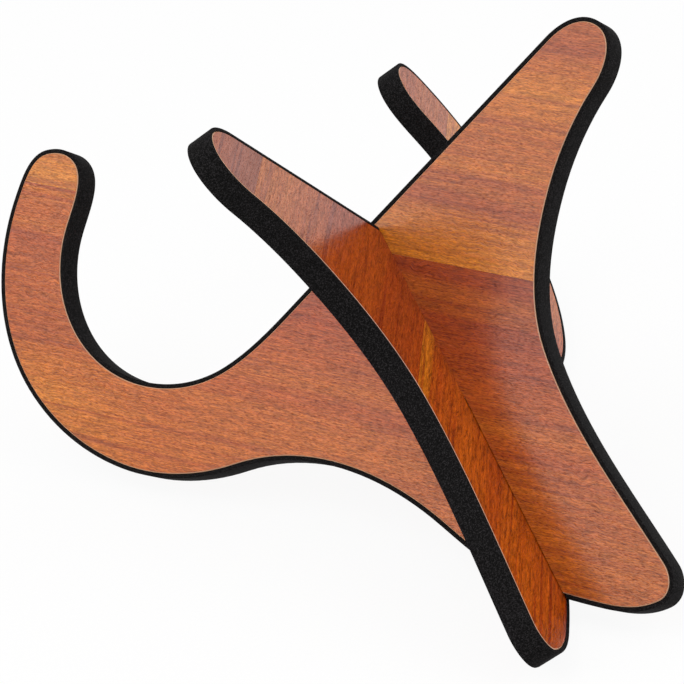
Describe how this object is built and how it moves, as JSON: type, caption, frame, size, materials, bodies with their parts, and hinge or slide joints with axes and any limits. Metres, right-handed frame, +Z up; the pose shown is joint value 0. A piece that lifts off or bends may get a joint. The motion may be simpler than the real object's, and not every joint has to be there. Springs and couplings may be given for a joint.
{
  "type": "ukulele stand",
  "caption": "Table stand for a small fretted instrument: slotted wood plates with hooks cross square and carry it on foam edges.",
  "frame": {"origin": "on the floor, under the middle of the stand's bounding box", "axes": "+Z up, -Y is the front where the instrument leans in, +X is the right-hand side seen from the front"},
  "size_m": [0.2024, 0.2718, 0.1553],
  "materials": {
    "face_red": "satin clear coat over red-brown wood face sheet, straight grain along the floor line",
    "face_amber": "satin clear coat over amber-brown wood face sheet, straight grain along the floor line",
    "core_board": "bare dense fibre board, seen only in the slots",
    "edge_foam": "matte black closed-cell foam edging with a fine speckle"
  },
  "bodies": {
    "left_plate": {"left_core": "core_board", "left_edge_foam": "edge_foam", "left_top_lower_strip": "face_amber", "left_top_cradle_strip": "face_red", "left_top_arm_strip": "face_red", "left_top_arm_tip_strip": "face_amber", "left_top_hook_tip_strip": "face_red", "left_bottom_lower_strip": "face_red", "left_bottom_cradle_strip": "face_amber", "left_bottom_arm_strip": "face_amber", "left_bottom_arm_tip_strip": "face_red", "left_bottom_hook_tip_strip": "face_amber"},
    "right_plate": {"right_core": "core_board", "right_edge_foam": "edge_foam", "right_top_lower_strip": "face_red", "right_top_arm_strip": "face_amber", "right_top_hook_tip_strip": "face_amber", "right_bottom_lower_strip": "face_amber", "right_bottom_arm_strip": "face_red", "right_bottom_arm_tip_strip": "face_amber", "right_bottom_hook_tip_strip": "face_red"}
  },
  "joints": [
    {"name": "right_plate_lift_off", "type": "slide", "parent": "left_plate", "child": "right_plate", "axis": [0, -0.8165, 0.5773], "range_m": [-0.0036, 0.0714]}
  ]
}
